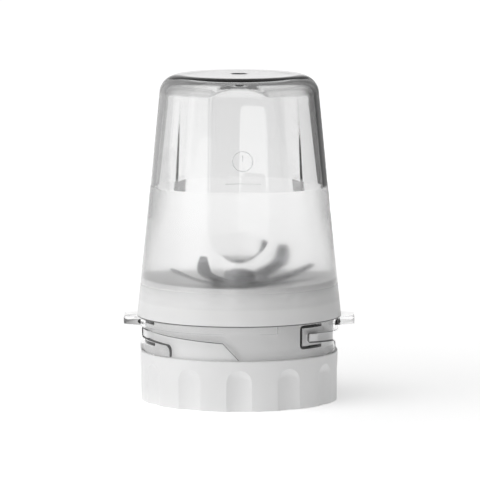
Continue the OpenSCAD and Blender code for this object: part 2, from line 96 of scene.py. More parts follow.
def studio():
    """A dome whose level depends on the direction round the object: white straight behind it,
    a black flag behind it on the right, a grey one on the left. Soft boxes light it from the top and
    the left, and three strips make the long reflections on the clear walls."""
    world = bpy.data.worlds.new("studio")
    bpy.context.scene.world = world
    world.use_nodes = True
    tree = world.node_tree
    tree.nodes.clear()
    out = tree.nodes.new("ShaderNodeOutputWorld")
    back = tree.nodes.new("ShaderNodeBackground")
    coord = tree.nodes.new("ShaderNodeTexCoord")
    split = tree.nodes.new("ShaderNodeSeparateXYZ")
    tree.links.new(coord.outputs["Generated"], split.inputs[0])
    turn = tree.nodes.new("ShaderNodeMath")
    turn.operation = "ARCTAN2"
    tree.links.new(split.outputs["X"], turn.inputs[0])
    tree.links.new(split.outputs["Y"], turn.inputs[1])
    round_level = level_ramp(tree, turn.outputs[0], -math.pi, math.pi, ROUND_LEVELS)
    high_level = level_ramp(tree, split.outputs["Z"], -1, 1, HIGH_LEVELS)
    both = tree.nodes.new("ShaderNodeMix")
    both.data_type = "FLOAT"
    tree.links.new(high_level, both.inputs["Factor"])
    tree.links.new(round_level, both.inputs["A"])
    both.inputs["B"].default_value = OVERHEAD_LEVEL
    backdrop = level_ramp(tree, split.outputs["Z"], -1, 1, BACKDROP_LEVELS)
    behind = tree.nodes.new("ShaderNodeMapRange")
    behind.inputs["From Min"].default_value = 0.0
    behind.inputs["From Max"].default_value = 0.3
    tree.links.new(split.outputs["Y"], behind.inputs["Value"])
    shade = tree.nodes.new("ShaderNodeMix")
    shade.data_type = "FLOAT"
    shade.inputs["A"].default_value = 1
    tree.links.new(behind.outputs[0], shade.inputs["Factor"])
    tree.links.new(backdrop, shade.inputs["B"])
    level = tree.nodes.new("ShaderNodeMath")
    level.operation = "MULTIPLY"
    tree.links.new(both.outputs["Result"], level.inputs[0])
    tree.links.new(shade.outputs["Result"], level.inputs[1])
    tree.links.new(level.outputs[0], back.inputs["Strength"])
    seen = tree.nodes.new("ShaderNodeBackground")
    seen.inputs["Strength"].default_value = 1.05
    for shader in (back, seen):
        shader.inputs["Color"].default_value = (1, 1, 1, 1)
    path = tree.nodes.new("ShaderNodeLightPath")
    mix = tree.nodes.new("ShaderNodeMixShader")
    tree.links.new(path.outputs["Is Camera Ray"], mix.inputs[0])
    tree.links.new(back.outputs[0], mix.inputs[1])
    tree.links.new(seen.outputs[0], mix.inputs[2])
    tree.links.new(mix.outputs[0], out.inputs[0])

    soft_box("top_light", (-0.6, -0.4, 1.4), (1.4, 1.2), TOP_WATTS, (0, 0, 0.05))
    soft_box("left_light", (-1.6, -1.15, 0.4), (1.6, 1.3), LEFT_WATTS, (0, 0, 0.07))
    soft_box("left_strip", (-1.92, -0.55, 0.33), (2.7, 0.35), LEFT_STRIP_WATTS, (0, 0, 0.12))
    soft_box("front_strip", (-0.51, -2.4, 0.45), (0.7, 0.85), FRONT_STRIP_WATTS, (0, 0, 0.12))
    soft_box("right_strip", (1.96, -0.38, 0.33), (0.77, 0.35), RIGHT_STRIP_WATTS, (0, 0, 0.12))


def level_ramp(tree, value, low, high, stops):
    """A level that follows a value through (position, level) stops."""
    fit = tree.nodes.new("ShaderNodeMapRange")
    fit.inputs["From Min"].default_value = low
    fit.inputs["From Max"].default_value = high
    tree.links.new(value, fit.inputs["Value"])
    ramp = tree.nodes.new("ShaderNodeValToRGB")
    elements = ramp.color_ramp.elements
    for element, (position, level) in zip(elements, (stops[0], stops[-1])):
        element.position = position
        element.color = (level, level, level, 1)
    for position, level in stops[1:-1]:
        elements.new(position).color = (level, level, level, 1)
    tree.links.new(fit.outputs[0], ramp.inputs[0])
    return ramp.outputs[0]


def soft_box(name, place, size, watts, target):
    light = bpy.data.lights.new(name, "AREA")
    light.shape = "RECTANGLE"
    light.size, light.size_y = size
    light.energy = watts
    ob = bpy.data.objects.new(name, light)
    bpy.context.scene.collection.objects.link(ob)
    ob.location = place
    ob.rotation_euler = (Vector(target) - ob.location).to_track_quat("-Z", "Y").to_euler()


# ---------------------------------------------------------------- materials


def new_material(name):
    mat = bpy.data.materials.new(name)
    mat.use_nodes = True
    tree = mat.node_tree
    return mat, tree, tree.nodes["Principled BSDF"]


def noise(tree, scale, detail=4.0):
    coord = tree.nodes.new("ShaderNodeTexCoord")
    tex = tree.nodes.new("ShaderNodeTexNoise")
    tex.inputs["Scale"].default_value = scale
    tex.inputs["Detail"].default_value = detail
    tree.links.new(coord.outputs["Object"], tex.inputs["Vector"])
    return tex.outputs["Fac"]


def spread(tree, value, low, high, source=(0.3, 0.7)):
    node = tree.nodes.new("ShaderNodeMapRange")
    node.inputs["From Min"].default_value = source[0]
    node.inputs["From Max"].default_value = source[1]
    node.inputs["To Min"].default_value = low
    node.inputs["To Max"].default_value = high
    tree.links.new(value, node.inputs["Value"])
    return node.outputs[0]


def add_bump(tree, bsdf, height, distance, strength=0.3):
    bump = tree.nodes.new("ShaderNodeBump")
    bump.inputs["Distance"].default_value = distance
    bump.inputs["Strength"].default_value = strength
    tree.links.new(height, bump.inputs["Height"])
    tree.links.new(bump.outputs[0], bsdf.inputs["Normal"])
    return bump


def tinted(tree, value, dark, light):
    ramp = tree.nodes.new("ShaderNodeValToRGB")
    ramp.color_ramp.elements[0].color = (*dark, 1)
    ramp.color_ramp.elements[1].color = (*light, 1)
    ramp.color_ramp.elements[0].position = 0.35
    ramp.color_ramp.elements[1].position = 0.65
    tree.links.new(value, ramp.inputs[0])
    return ramp.outputs[0]


def moulded(name, dark, light, rough=(0.32, 0.42), grain=1400, depth=0.00002):
    """Moulded plastic: slow flow marks in the colour, a fine spark-eroded grain in the surface."""
    mat, tree, bsdf = new_material(name)
    tree.links.new(tinted(tree, noise(tree, 22), dark, light), bsdf.inputs["Base Color"])
    tree.links.new(spread(tree, noise(tree, 90), *rough), bsdf.inputs["Roughness"])
    add_bump(tree, bsdf, noise(tree, grain, 2), depth)
    bsdf.inputs["IOR"].default_value = 1.49
    return mat


def metal(name, dark, light, rough, streak_axis=None, scale=260):
    """Metal with fine streaks along one axis, or an even grain."""
    mat, tree, bsdf = new_material(name)
    bsdf.inputs["Metallic"].default_value = 1
    coord = tree.nodes.new("ShaderNodeTexCoord")
    mapping = tree.nodes.new("ShaderNodeMapping")
    stretch = [scale] * 3
    if streak_axis is not None:
        stretch[streak_axis] = scale * 0.04
    mapping.inputs["Scale"].default_value = stretch
    tree.links.new(coord.outputs["Object"], mapping.inputs[0])
    tex = tree.nodes.new("ShaderNodeTexNoise")
    tex.inputs["Scale"].default_value = 8
    tex.inputs["Detail"].default_value = 6
    tree.links.new(mapping.outputs[0], tex.inputs["Vector"])
    tree.links.new(tinted(tree, tex.outputs["Fac"], dark, light), bsdf.inputs["Base Color"])
    tree.links.new(spread(tree, tex.outputs["Fac"], *rough), bsdf.inputs["Roughness"])
    add_bump(tree, bsdf, tex.outputs["Fac"], 0.00002, 0.25)
    return mat


def clear_plastic(name, tint, ior=1.5, rough=0.01, soft_level=0.88):
    """Polished clear plastic with the faintest waviness of a moulded wall."""
    mat, tree, bsdf = new_material(name)
    bsdf.inputs["Base Color"].default_value = (tint, tint, tint, 1)
    bsdf.inputs["Transmission Weight"].default_value = 1
    bsdf.inputs["IOR"].default_value = ior
    bsdf.inputs["Roughness"].default_value = rough
    add_bump(tree, bsdf, noise(tree, 30, 1), 0.00004, 0.15)
    lit_through(tree, bsdf.outputs[0], soft_level)
    return mat


def frosted_plastic(name, rough, veil_low, veil_high, heights):
    """The same plastic with an etched surface: it scatters what passes through and adds a white veil.

    The veil is thicker at the lower height, where white plastic stands close behind the wall."""
    mat, tree, bsdf = new_material(name)
    bsdf.inputs["Base Color"].default_value = (0.94, 0.94, 0.94, 1)
    bsdf.inputs["Transmission Weight"].default_value = 1
    bsdf.inputs["IOR"].default_value = 1.5
    tree.links.new(spread(tree, noise(tree, 40, 3), rough - 0.01, rough + 0.01), bsdf.inputs["Roughness"])
    bump = add_bump(tree, bsdf, noise(tree, 300, 2), 0.00001, 0.05)
    front = tree.nodes.new("ShaderNodeBsdfDiffuse")
    through = tree.nodes.new("ShaderNodeBsdfTranslucent")
    for shader in (front, through):
        shader.inputs["Color"].default_value = (0.95, 0.95, 0.95, 1)
        tree.links.new(bump.outputs[0], shader.inputs["Normal"])
    veil = mixed(tree, 0.2, front.outputs[0], through.outputs[0])
    coord = tree.nodes.new("ShaderNodeTexCoord")
    split = tree.nodes.new("ShaderNodeSeparateXYZ")
    tree.links.new(coord.outputs["Object"], split.inputs[0])
    share = spread(tree, split.outputs["Z"], veil_low, veil_high, heights)
    whole = mixed(tree, 0.5, bsdf.outputs[0], veil)
    tree.links.new(share, whole.node.inputs[0])
    lit_through(tree, whole, 0.9)
    return mat


def lit_through(tree, surface, level):
    """Lets soft light pass straight through a wall, so that what stands inside it is lit."""
    path = tree.nodes.new("ShaderNodeLightPath")
    either = tree.nodes.new("ShaderNodeMath")
    either.operation = "MAXIMUM"
    tree.links.new(path.outputs["Is Shadow Ray"], either.inputs[0])
    tree.links.new(path.outputs["Is Diffuse Ray"], either.inputs[1])
    straight = tree.nodes.new("ShaderNodeBsdfTransparent")
    straight.inputs["Color"].default_value = (level, level, level, 1)
    both = mixed(tree, 0.0, surface, straight.outputs[0])
    tree.links.new(either.outputs[0], both.node.inputs[0])
    tree.links.new(both, tree.nodes["Material Output"].inputs["Surface"])


def mixed(tree, share, first, second):
    mix = tree.nodes.new("ShaderNodeMixShader")
    mix.inputs[0].default_value = share
    tree.links.new(first, mix.inputs[1])
    tree.links.new(second, mix.inputs[2])
    return mix.outputs[0]


def floor_material():
    mat, tree, bsdf = new_material("floor_paint")
    paint = tinted(tree, noise(tree, 3), (0.95, 0.95, 0.95), (0.97, 0.97, 0.97))
    tree.links.new(paint, bsdf.inputs["Base Color"])
    bsdf.inputs["Roughness"].default_value = 0.9
    bsdf.inputs["Specular IOR Level"].default_value = 0.0
    bsdf.inputs["Emission Color"].default_value = (1, 1, 1, 1)
    coord = tree.nodes.new("ShaderNodeTexCoord")
    far = tree.nodes.new("ShaderNodeVectorMath")
    far.operation = "LENGTH"
    tree.links.new(coord.outputs["Object"], far.inputs[0])
    glow = spread(tree, far.outputs["Value"], *FLOOR_GLOW, FLOOR_GLOW_REACH)
    tree.links.new(glow, bsdf.inputs["Emission Strength"])
    return mat


# ---------------------------------------------------------------- mesh building


def add_object(name, bm, materials, smooth_angle=None):
    bmesh.ops.recalc_face_normals(bm, faces=bm.faces)
    mesh = bpy.data.meshes.new(name)
    bm.to_mesh(mesh)
    bm.free()
    for mat in materials:
        mesh.materials.append(mat)
    ob = bpy.data.objects.new(name, mesh)
    bpy.context.scene.collection.objects.link(ob)
    if smooth_angle:
        smooth(ob, smooth_angle)
    return ob


def smooth(ob, angle):
    """Smooth shading, with edges sharper than the angle left crisp."""
    mesh = ob.data
    mesh.polygons.foreach_set("use_smooth", [True] * len(mesh.polygons))
    mesh.set_sharp_from_angle(angle=math.radians(angle))
    mesh.update()


def polar(angle, radius, z):
    a = math.radians(angle)
    return radius * math.sin(a), -radius * math.cos(a), z


def skin(rings, material_of=None, closed=False):
    """A mesh through rings of equal length. A ring of one point is a pole, and closed joins the
    last ring to the first."""
    bm = bmesh.new()
    rows = [[bm.verts.new(Vector(p) * MM) for p in ring] for ring in rings]
    pairs = list(zip(rows, rows[1:])) + ([(rows[-1], rows[0])] if closed else [])
    for k, (a, b) in enumerate(pairs):
        count = max(len(a), len(b))
        for i in range(count):
            j = (i + 1) % count
            corners = [a[0]] if len(a) == 1 else [a[i], a[j]]
            corners += [b[0]] if len(b) == 1 else [b[j], b[i]]
            face = bm.faces.new(corners)
            if material_of:
                face.material_index = material_of(k)
    return bm


def lathe(profile, columns=192, closed=True):
    """A turned solid through (radius, z) points."""
    step = 360 / columns
    return skin([[polar(i * step, r, z) for i in range(columns)] for r, z in profile], closed=closed)


def wrapped_strip(columns, inner):
    """A closed block that follows the round wall. columns are (angle, low z, high z, outer radius)."""
    bm = bmesh.new()
    rows = []
    for angle, low, high, outer in columns:
        corners = [(inner, low), (outer, low), (outer, high), (inner, high)]
        rows.append([bm.verts.new(Vector(polar(angle, r, z)) * MM) for r, z in corners])
    for a, b in zip(rows, rows[1:]):
        for i in range(4):
            j = (i + 1) % 4
            bm.faces.new([a[i], a[j], b[j], b[i]])
    bm.faces.new(rows[0])
    bm.faces.new(list(reversed(rows[-1])))
    bmesh.ops.recalc_face_normals(bm, faces=bm.faces)
    return bm


def joined(meshes):
    """Several bmeshes as one."""
    whole = bmesh.new()
    for bm in meshes:
        part = bpy.data.meshes.new("part")
        bm.to_mesh(part)
        bm.free()
        whole.from_mesh(part)
        bpy.data.meshes.remove(part)
    return whole


def turned(bm, angle):
    """The mesh turned about the Z axis."""
    matrix = Matrix.Rotation(math.radians(angle), 3, "Z")
    bmesh.ops.rotate(bm, verts=bm.verts, cent=(0, 0, 0), matrix=matrix)
    return bm


def carve(ob, tool_bm, operation="DIFFERENCE", materials=()):
    """Applies an exact boolean with a throwaway tool."""
    tool = add_object("tool", tool_bm, materials)
    mod = ob.modifiers.new("carve", "BOOLEAN")
    mod.operation = operation
    mod.solver = "EXACT"
    mod.object = tool
    apply_modifiers(ob)
    bpy.data.objects.remove(tool)


def painted(bm, index):
    for face in bm.faces:
        face.material_index = index
    return bm


def apply_modifiers(ob):
    graph = bpy.context.evaluated_depsgraph_get()
    mesh = bpy.data.meshes.new_from_object(ob.evaluated_get(graph), depsgraph=graph)
    ob.modifiers.clear()
    ob.data = mesh


def rounded(distance, corner):
    """How far a straight edge pulls back at a distance from its end, for a corner radius."""
    d = max(0.0, corner - distance)
    return corner - math.sqrt(max(0.0, corner * corner - d * d))


def soft_min(a, b, width):
    """The smaller of two values, blended over about that width."""
    low = min(a, b)
    return low - width * math.log(math.exp((low - a) / width) + math.exp((low - b) / width))


def spaced(start, end, step):
    count = max(1, round((end - start) / step))
    return [start + (end - start) * i / count for i in range(count + 1)]


# ---------------------------------------------------------------- beaker

CUP_R = 48.0
TAPER = 0.1005
FLANGE_Z = 40.0
CUP_TOP = 153.4
CORNER_R = 9.5
WALL = 2.4
TOP_WALL = 3.0
SKIRT_Z = 24.0
SKIRT_IN_R = 45.1
SKIRT_LOW_R, SKIRT_HIGH_R = 46.5, 47.0
STEP_Z = 39.6
FROST_LOW, FROST_TOP = 40.1, 101.0
GROOVES = (0, 120, 240)
GROOVE_W = 13.8
CREST_R = 34.6
CREST_LEAN = 0.045
GROOVE_END = 69.6
GROOVE_CENTRE = GROOVE_END + GROOVE_W
CORNER_Z = CUP_TOP - CORNER_R
GATE_R = 3.7
GATE_DEPTH = 0.85
EDGE = 0.15
BACK_EDGE = 1.2
CREST_SOFT = 0.5


def cone(z):
    return CUP_R - TAPER * (z - FLANGE_Z)


def wall_depth(x, z):
    return math.sqrt(cone(min(z, CORNER_Z)) ** 2 - x * x)


def groove_depth(x, z):
    """Distance of a groove's surface from the axis: a V with a soft crest and a half-round lower end."""
    drop = max(0.0, GROOVE_CENTRE - z)
    soft = CREST_SOFT
    full = math.hypot(GROOVE_W, soft) - soft
    reach = (math.sqrt(x * x + drop * drop + soft * soft) - soft) / full
    flat = math.hypot(x, drop) / GROOVE_W
    if drop == 0 or flat == 0:
        rim = wall_depth(GROOVE_W, z)
    else:
        rim = wall_depth(min(abs(x) / flat, GROOVE_W), GROOVE_CENTRE - drop / flat)
    crest = CREST_R + CREST_LEAN * (CORNER_Z - min(CORNER_Z, max(z, GROOVE_CENTRE)))
    return crest + (rim - crest) * reach


# Steps across half a groove sector, finer at the crest and at the edge
GROOVE_X = [
    0, 0.3, 0.7, 1.5, 2.5, 3.6, 4.8, 6, 7.2, 8.4, 9.5, 10.5,
    11.3, 12, 12.6, 13.1, 13.5, 13.8, 14.1, 14.5, 15.1, 16, 17,
]
SECTOR_X = GROOVE_X[-1]
GAP_COLUMNS = 26
FLAT_R = cone(CORNER_Z) - CORNER_R


def cup_ring(radius, z, inset=0.0):
    """One ring of the beaker's wall: three groove sectors in steps of x, and even steps between them."""
    scale = min(1.0, radius / FLAT_R * 0.98)
    xs = [-x * scale for x in reversed(GROOVE_X[1:])] + [x * scale for x in GROOVE_X]
    edge = math.degrees(math.asin(SECTOR_X * scale / radius))
    points = []
    for centre in GROOVES:
        for x in xs:
            y = math.sqrt(radius * radius - x * x)
            if z > GROOVE_END - 3 and z <= CUP_TOP and scale == 1.0:
                y = soft_min(y, groove_depth(x, z) - inset, BACK_EDGE if centre else EDGE)
            points.append(polar(centre + math.degrees(math.atan2(x, y)), math.hypot(x, y), z))
        for i in range(1, GAP_COLUMNS):
            points.append(polar(centre + edge + (120 - 2 * edge) * i / GAP_COLUMNS, radius, z))
    return points


def cup_heights(low, high):
    fine_low, fine_high = GROOVE_END - 3.5, GROOVE_CENTRE + 2
    heights = spaced(low, fine_low, 2.5) + spaced(fine_low, fine_high, 0.6)[1:]
    heights += spaced(fine_high, FROST_TOP, 2.0)[1:] + spaced(FROST_TOP, high, 2.5)[1:]
    return heights


def beaker_rings():
    outside = []
    for inward, up in [(0.3, 0), (0.08, 0.08), (0, 0.35)]:
        outside.append((SKIRT_LOW_R - inward, SKIRT_Z + up))
    for z in spaced(26, 38.8, 1.6):
        outside.append((SKIRT_LOW_R + (SKIRT_HIGH_R - SKIRT_LOW_R) * (z - SKIRT_Z) / 12, z))
    outside += [
        (SKIRT_HIGH_R + 0.2, STEP_Z - 0.3), (SKIRT_HIGH_R + 0.5, STEP_Z), (CUP_R - 0.15, STEP_Z),
        (CUP_R - 0.03, STEP_Z + 0.1), (CUP_R, STEP_Z + 0.25),
    ]
    outside += [(cone(z), z) for z in cup_heights(FROST_LOW, CORNER_Z)]
    for t in spaced(12, 90, 5):
        a = math.radians(t)
        outside.append((FLAT_R + CORNER_R * math.cos(a), CORNER_Z + CORNER_R * math.sin(a)))
    outside += [(r, CUP_TOP) for r in (24, 18, 12, 8, 5)]
    outside += [
        (GATE_R + 0.3, CUP_TOP), (GATE_R, CUP_TOP - 0.1), (GATE_R - 0.2, CUP_TOP - 0.5),
        (GATE_R - 0.7, CUP_TOP - 0.8), (1.4, CUP_TOP - GATE_DEPTH),
    ]

    top_in = CUP_TOP - TOP_WALL
    corner_in = CORNER_R - WALL
    corner_in_z = top_in - corner_in
    cone_in_z = FLANGE_Z + (CUP_R - WALL - SKIRT_IN_R) / TAPER
    inside = [(r, top_in) for r in (4, 10, 16, 21)]
    for t in reversed(spaced(8, 90, 6)):
        a = math.radians(t)
        r = cone(corner_in_z) - WALL - corner_in + corner_in * math.cos(a)
        inside.append((r, corner_in_z + corner_in * math.sin(a)))
    inside += [(cone(z) - WALL, z) for z in reversed(cup_heights(cone_in_z + 0.5, corner_in_z))]
    inside += [(SKIRT_IN_R, z) for z in (cone_in_z - 1, 40, 36, 32, 28, 24.6)]
    inside += [(SKIRT_IN_R + 0.3, SKIRT_Z)]

    rings = [[(0, 0, CUP_TOP - GATE_DEPTH)]]
    rings += [cup_ring(r, z) for r, z in reversed(outside)]
    rings += [cup_ring(r, z, WALL) for r, z in reversed(inside)]
    rings += [[(0, 0, top_in)]]
    heights = [CUP_TOP - GATE_DEPTH] + [z for _, z in reversed(outside)]
    heights += [z for _, z in reversed(inside)] + [top_in]
    return rings, heights, len(outside)


# Bayonet slots, from the closed end of each
SLOT_END = 44
SLOT_TOP = 35.0
SLOT_H = 3.9
HELIX = 0.05
ENTRY_A = 32.0
SLOT_A = 76.0
CHAMFER_A = 66.5
CHAMFER_SLOPE = 1.03
SLOT_EASE = 0.42


def slot_columns(ease=0.0):
    """Columns of one slot's cutter, wider all round by ease for the broken edge outside. beaker() paints
    that step's faces dark: painted shade for the slot's outline.
    """
    columns = []
    angles = spaced(0, 2.4, 0.3) + spaced(2.4, ENTRY_A - 3.6, 2)[1:]
    angles += spaced(ENTRY_A - 3.6, ENTRY_A, 0.3)[1:] + [ENTRY_A + 0.02]
    angles += spaced(ENTRY_A + 2, CHAMFER_A, 2) + spaced(CHAMFER_A, SLOT_A, 1.2)[1:]
    mm_per_deg = SKIRT_HIGH_R * math.pi / 180
    for a in angles:
        top = SLOT_TOP - HELIX * a
        low = top - SLOT_H
        pull = rounded(a * mm_per_deg, 0.8)
        top -= pull
        low += pull
        if a <= ENTRY_A:
            low -= rounded((ENTRY_A - a) * mm_per_deg, 2.5)
        else:
            low = SKIRT_Z - 2
        if a > CHAMFER_A:
            top = SLOT_TOP - HELIX * CHAMFER_A - (a - CHAMFER_A) * mm_per_deg * CHAMFER_SLOPE
        columns.append((SLOT_END + a, low - ease, top + ease, 52))
    if ease:
        columns = [(columns[0][0] - ease / mm_per_deg, *columns[0][1:])] + columns
    return columns


def lock_tab():
    """Thumb tab with rounded corners and edges, rooted in the wall."""
    low, high = 36.4, 39.8
    r, reach, tip_half, root_half, root_r = 2.6, 54.2, 10.0, 14.5, 46.0
    outline = []
    for t in spaced(-52, 0, 13):
        a = math.radians(t)
        outline.append((reach - r + r * math.cos(a), -tip_half + r + r * math.sin(a)))
    outline += [(x, -y) for x, y in reversed(outline)][1 if outline[-1][1] == 0 else 0:]
    root_a = math.degrees(math.asin(root_half / root_r))
    for t in spaced(root_a, -root_a, -4):
        outline.append((root_r * math.cos(math.radians(t)), root_r * math.sin(math.radians(t))))
    bm = bmesh.new()
    face = bm.faces.new([bm.verts.new((x * MM, y * MM, low * MM)) for x, y in outline])
    raised = bmesh.ops.extrude_face_region(bm, geom=[face])
    upper = [v for v in raised["geom"] if isinstance(v, bmesh.types.BMVert)]
    bmesh.ops.translate(bm, verts=upper, vec=(0, 0, (high - low) * MM))
    bmesh.ops.recalc_face_normals(bm, faces=bm.faces)
    rim = [
        e for e in bm.edges
        if abs(e.verts[0].co.z - e.verts[1].co.z) < 1e-6
        and all(v.co.to_2d().length > 47.5 * MM for v in e.verts)
    ]
    bmesh.ops.bevel(bm, geom=rim, offset=0.3 * MM, segments=2, profile=0.5, affect="EDGES")
    return bm


def lip(start, end):
    """A band under the flange, between two angles."""
    return wrapped_strip([(a, 36.2, STEP_Z - 0.12, CUP_R) for a in spaced(start, end, 2)], 46.3)


# The beaker's material slots. The last is painted shade: a near-black on the slots' edges and on a thin
# band under the flange, standing in for the dark lines that refraction draws there
CLEAR, FROSTED, CLEAR_LOWER, TAB, PAINTED_EDGE_SHADE = range(5)
SHADE_BAND_HEIGHT = 0.4


def beaker(materials):
    rings, heights, outside_count = beaker_rings()

    def material_of(k):
        mid = (heights[k] + heights[k + 1]) / 2
        if mid > FROST_TOP:
            return CLEAR
        # A thin band just under the flange takes the dark edge material: painted shade for the dark line
        # under the flange
        if k <= outside_count and STEP_Z < mid < STEP_Z + SHADE_BAND_HEIGHT:
            return PAINTED_EDGE_SHADE
        return FROSTED if k <= outside_count and mid > FROST_LOW - 0.3 else CLEAR_LOWER

    ob = add_object("mill_beaker_shell", skin(rings, material_of), materials)
    # The slots' cut faces, and the shallow step round their outer edges, take the dark edge material:
    # painted shade for the dark outlines round the slots
    slots = joined([turned(wrapped_strip(slot_columns(), 43), a) for a in GROOVES])
    carve(ob, painted(slots, PAINTED_EDGE_SHADE), "DIFFERENCE", materials)
    depth = SKIRT_LOW_R - 0.35
    eased = joined([turned(wrapped_strip(slot_columns(SLOT_EASE), depth), a) for a in GROOVES])
    carve(ob, painted(eased, PAINTED_EDGE_SHADE), "DIFFERENCE", materials)
    tabs = joined([lock_tab(), turned(lock_tab(), 180)])
    lips = joined([turned(lip(s, e), a) for s, e in ((-76, -7.4), (12, 22)) for a in (0, 180)])
    carve(ob, painted(tabs, TAB), "UNION", materials)
    carve(ob, painted(lips, CLEAR_LOWER), "UNION", materials)
    smooth(ob, 32)
    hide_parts("mill_beaker")
    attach(ob, "beaker")


# ---------------------------------------------------------------- blade unit

COLLAR_R = 46.4
COLLAR_H = 23.6
FLUTES = 12
FLUTE_W = 11.8
FLUTE_DEPTH = 1.5
FLUTE_SCOOP = 0.5
FLUTE_TOP = COLLAR_H - 4.2


def flute_depth(x, z):
    """Depth of a flute: an arc across it, with a steeper scoop under its arched end. It is negative
    outside the flute."""
    half = FLUTE_W / 2
    across = FLUTE_DEPTH * (1 - (x / half) ** 2)
    drop = max(0.0, z - (FLUTE_TOP - half))
    return min(across, FLUTE_SCOOP * (half - math.hypot(x, drop)))


def flute():
    """Cutter for one flute. Its grid runs from the flute's middle line out over its edge, so the
    edge comes out crisp."""
    half = FLUTE_W / 2
    arch = FLUTE_TOP - half
    path = [(z, -1, 0) for z in (-1, 4, 8, 11)]
    path += [(arch, math.cos(math.radians(t)), math.sin(math.radians(t))) for t in spaced(180, 0, -9)]
    path += [(z, 1, 0) for z in (11, 8, 4, -1)]
    steps = [0.2, 0.4, 0.58, 0.72, 0.82, 0.9, 0.96, 1.03, 1.12]
    bm = bmesh.new()
    layers = []
    for lift in (None, COLLAR_R + 4):
        spine = {}
        layer = []
        for z, dx, dz in path:
            row = []
            for step in [0] + steps:
                x, height = step * half * dx, z + step * half * dz
                y = lift or math.sqrt(COLLAR_R ** 2 - x * x) - flute_depth(x, height)
                if step == 0 and z in spine:
                    row.append(spine[z])
                    continue
                row.append(bm.verts.new((x * MM, -y * MM, height * MM)))
                if step == 0:
                    spine[z] = row[0]
            layer.append(row)
        layers.append(layer)
        for a, b in zip(layer, layer[1:]):
            for j in range(len(steps)):
                corners = [a[j], a[j + 1], b[j + 1], b[j]]
                bm.faces.new(corners[:3] if a[j] == b[j] else corners)
    near, far = layers
    rim_near = [row[-1] for row in near] + near[-1][-2::-1] + near[0][1:-1]
    rim_far = [row[-1] for row in far] + far[-1][-2::-1] + far[0][1:-1]
    for i in range(len(rim_near)):
        j = (i + 1) % len(rim_near)
        bm.faces.new([rim_near[i], rim_near[j], rim_far[j], rim_far[i]])
    bmesh.ops.recalc_face_normals(bm, faces=bm.faces)
    return bm


def collar(material):
    outside = [(COLLAR_R - 0.45, 0), (COLLAR_R - 0.12, 0.12), (COLLAR_R, 0.45)]
    outside += [
        (COLLAR_R, COLLAR_H - 0.6), (COLLAR_R - 0.18, COLLAR_H - 0.18), (COLLAR_R - 0.6, COLLAR_H),
    ]
    inside = [
        (43.9, COLLAR_H), (32.4, COLLAR_H), (32.4, 20.6), (42.6, 20.6),
        (42.6, 10), (42.0, 10), (42.0, 0.4), (42.4, 0),
    ]
    ob = add_object("grip_collar_shell", lathe(outside + inside, 360), [material])
    carve(ob, joined([turned(flute(), 360 / FLUTES * k) for k in range(FLUTES)]))
    key = [(a, 11, 14, 42.9) for a in spaced(-8, 8, 2)]
    pip = [(a, COLLAR_H - 0.5, COLLAR_H + 0.3, 46.2) for a in (-0.6, 0, 0.6)]
    keys = [turned(wrapped_strip(key, 40), 45 + 90 * k) for k in range(4)]
    pips = [turned(wrapped_strip(pip, 44.6), a) for a in (-60, 60, 180)]
    whole = joined(keys + pips)
    whole.from_mesh(ob.data)
    whole.to_mesh(ob.data)
    whole.free()
    smooth(ob, 18)
    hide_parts("grip_collar")
    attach(ob, "base")


NECK_R = 44.2
NECK_IN = 42.0
SHOULDER = 42.5
DRUM_R = 41.8
RIM_Z = 56.6
DECK_Z = 53.6


def holder_profile():
    return [
        (33, 23.6), (NECK_R, 23.6), (NECK_R, SHOULDER - 0.4), (NECK_R - 0.12, SHOULDER - 0.12),
        (NECK_R - 0.4, SHOULDER), (DRUM_R + 0.4, SHOULDER), (DRUM_R + 0.1, SHOULDER + 0.1),
        (DRUM_R, SHOULDER + 0.4), (DRUM_R, 51.2), (DRUM_R - 0.25, 51.45), (DRUM_R - 0.3, 51.8),
        (DRUM_R - 0.3, 53.2), (DRUM_R - 0.5, 53.5), (DRUM_R - 0.8, 53.7), (DRUM_R - 1.0, 54.8),
        (DRUM_R - 1.4, 55.4), (40.0, 56.2), (39.7, 56.5), (39.3, RIM_Z), (38.9, 56.5), (38.4, 56.35),
        (24, 54.6), (17, DECK_Z + 0.1), (16, DECK_Z), (11.02, DECK_Z), (11.02, 51.0), (20, 51.0),
        (38.6, 53.0), (39.3, 52.5), (39.6, 51), (39.6, 40.3), (NECK_IN, 40.3), (NECK_IN, 26.0),
        (33, 26.0),
    ]


def slit_arm(z):
    """One arm of a C-shaped slit, with rounded ends."""
    half, r = 0.75, 0.7
    length = 18.2
    mm_per_deg = NECK_R * math.pi / 180
    columns = []
    angles = spaced(0, 1.2, 0.24) + spaced(1.2, length - 1.2, 1.6)[1:]
    for a in angles + spaced(length - 1.2, length, 0.24)[1:]:
        pull = rounded(min(a, length - a) * mm_per_deg, r)
        columns.append((SLOT_END - 3.2 + a, z - half + pull, z + half - pull, 47))
    return wrapped_strip(columns, 40.5)


def slit_back():
    """The upright of a C-shaped slit, with rounded outer corners."""
    mm_per_deg = NECK_R * math.pi / 180
    columns = []
    for a in spaced(0, 1.8, 0.2):
        pull = rounded(a * mm_per_deg, 2.0)
        columns.append((SLOT_END - 4.8 + a, 27.65 + pull, 38.95 - pull, 47))

    return wrapped_strip(columns, 40.5)


def lug():
    """Bayonet lug: a flat pad, then a ramp down to the neck."""
    steps = [
        (0.5, 0.35), (0.7, 0.08), (1.0, 0.0), (7.6, 0.0), (7.9, 0.05), (8.3, 0.3), (11.4, 2.3), (11.7, 2.5),
    ]
    low, high = 31.35, 34.75
    columns = [(SLOT_END + a, low - HELIX * a, high - HELIX * a, 46.6 - down) for a, down in steps]
    return wrapped_strip(columns, 43.2)


def boss(angle):
    """A screw post inside the neck."""
    bm = lathe([(0.1, 25), (3.8, 25), (3.8, 37.6), (3.4, 38.0), (0.1, 38.0)], 32)
    x, y, _ = polar(angle, 37.6, 0)
    bmesh.ops.translate(bm, verts=bm.verts, vec=(x * MM, y * MM, 0))
    return bm


